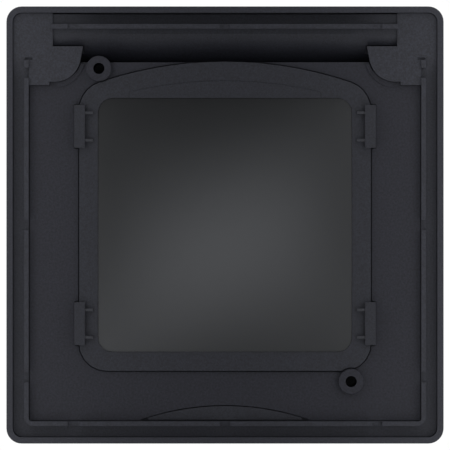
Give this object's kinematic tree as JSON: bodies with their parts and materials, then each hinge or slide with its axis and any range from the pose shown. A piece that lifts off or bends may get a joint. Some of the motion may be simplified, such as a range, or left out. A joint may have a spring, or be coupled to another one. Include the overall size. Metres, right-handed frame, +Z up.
{
  "type": "mesh wifi node",
  "caption": "Square wall-held mesh wifi node: shell, ribbed rear frame, screwed rear plate with heat window, cable bay, sockets, board, aerials and buttons.",
  "frame": {"origin": "centre of the square rim, in the plane that lies on the wall", "axes": "+Y from the wall into the room, +Z up with the cable bay at the top, +X to the right as seen from the wall side"},
  "size_m": [0.12, 0.034, 0.12],
  "materials": {
    "moulded_plastic": "dark anthracite moulded plastic with a fine spark texture",
    "inner_plastic": "plain dark moulded plastic",
    "satin_plate": "thin satin neutral grey coat on aluminium",
    "foam_gasket": "closed-cell foam",
    "aluminium": "extruded, as drawn",
    "thermal_silicone": "soft grey-blue gap pad",
    "board_laminate": "green solder mask over glass fibre laminate",
    "chip_epoxy": "moulded black epoxy",
    "tinplate": "bright tinned steel",
    "ferrite": "pressed ferrite",
    "gold_plate": "thin gold plate over copper alloy",
    "zinc_steel": "zinc plated screw steel",
    "lead_jacket": "black jacket plastic",
    "clear_plastic": "clear light guide plastic"
  },
  "bodies": {
    "chassis": {"aerial_lead_left_lower": "lead_jacket", "aerial_lead_left_upper": "lead_jacket", "aerial_lead_right_lower": "lead_jacket", "aerial_lead_right_upper": "lead_jacket", "aerial_left_lower": "gold_plate", "aerial_left_upper": "gold_plate", "aerial_right_lower": "gold_plate", "aerial_right_upper": "gold_plate", "board_screw_1": "zinc_steel", "board_screw_2": "zinc_steel", "board_screw_3": "zinc_steel", "board_screw_4": "zinc_steel", "board_tray": "inner_plastic", "button_guide": "moulded_plastic", "cable_scoop": "moulded_plastic", "capacitor_1": "tinplate", "capacitor_2": "tinplate", "flash_chip": "chip_epoxy", "front_cover": "moulded_plastic", "heat_plate": "satin_plate", "heat_sink": "aluminium", "inductor_1": "ferrite", "inductor_2": "ferrite", "lan_jack_1": "chip_epoxy", "lan_jack_1_contacts": "gold_plate", "lan_jack_2": "chip_epoxy", "lan_jack_2_contacts": "gold_plate", "lan_transformer_1": "chip_epoxy", "lan_transformer_2": "chip_epoxy", "light_pipe": "clear_plastic", "main_board": "board_laminate", "memory_chip_left": "chip_epoxy", "memory_chip_right": "chip_epoxy", "pair_switch_body": "chip_epoxy", "power_socket": "tinplate", "processor": "chip_epoxy", "radio_can_left": "tinplate", "radio_can_right": "tinplate", "rear_frame": "moulded_plastic", "rear_plate": "moulded_plastic", "reset_switch_body": "chip_epoxy", "status_light": "clear_plastic", "thermal_pad": "thermal_silicone", "tray_screw_1": "zinc_steel", "tray_screw_2": "zinc_steel", "tray_screw_3": "zinc_steel", "tray_screw_4": "zinc_steel", "window_frame": "moulded_plastic", "window_gasket": "foam_gasket"},
    "pair_button": {"pair_button": "moulded_plastic"},
    "pair_switch_plunger": {"pair_switch_plunger": "lead_jacket"},
    "reset_switch_plunger": {"reset_switch_plunger": "lead_jacket"}
  },
  "joints": [
    {"name": "pair_button_press", "type": "slide", "parent": "chassis", "child": "pair_button", "axis": [0, 0, 1], "range_m": [0, 0.0006], "stiffness_N_per_m": 2500, "springref_m": -0.0004},
    {"name": "pair_switch_travel", "type": "slide", "parent": "chassis", "child": "pair_switch_plunger", "axis": [0, 0, 1], "range_m": [0, 0.0008]},
    {"name": "reset_switch_travel", "type": "slide", "parent": "chassis", "child": "reset_switch_plunger", "axis": [0, 0, 1], "range_m": [0, 0.0003], "stiffness_N_per_m": 2500, "springref_m": -0.0003}
  ],
  "couplings": [
    {"joint": "pair_switch_travel", "follows": "pair_button_press", "ratio": 1}
  ]
}
